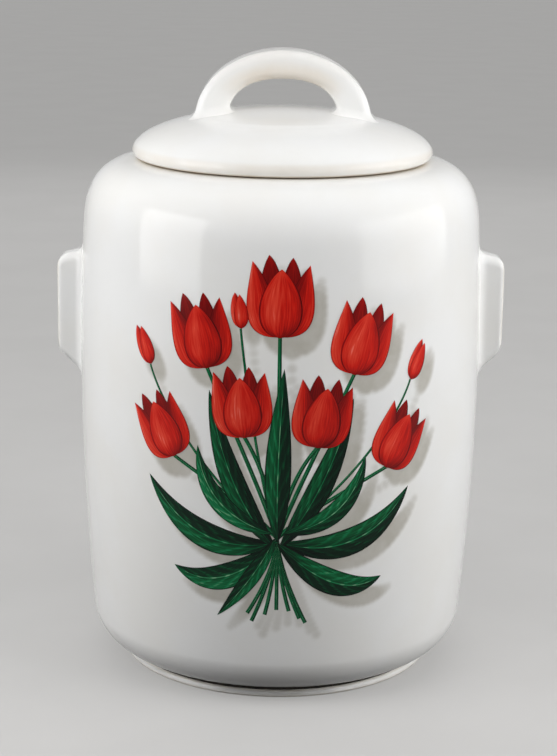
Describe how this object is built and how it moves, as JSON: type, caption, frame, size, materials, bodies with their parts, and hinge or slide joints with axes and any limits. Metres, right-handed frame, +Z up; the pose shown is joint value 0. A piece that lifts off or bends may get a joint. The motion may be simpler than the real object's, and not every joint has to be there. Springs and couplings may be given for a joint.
{
  "type": "biscuit jar",
  "caption": "Tall glazed stoneware jar with a foot ring, two side lugs and a domed lift-off lid that drops into the mouth and carries a loop handle.",
  "frame": {"origin": "centre of the foot ring, on the plane the jar stands on", "axes": "+Z up along the jar's axis, +X towards the right lug, -Y towards the viewer"},
  "size_m": [0.196, 0.1764, 0.27],
  "materials": {
    "glaze": "clear glossy glaze over off-white stoneware; the foot ring's lower face is bare"
  },
  "bodies": {
    "jar": {"jar_body": "glaze", "left_lug": "glaze", "right_lug": "glaze"},
    "lid": {"lid": "glaze", "lid_handle": "glaze"}
  },
  "joints": [
    {"name": "lid_lift", "type": "slide", "parent": "jar", "child": "lid", "axis": [0, 0, 1], "range_m": [0, 0.06]}
  ]
}
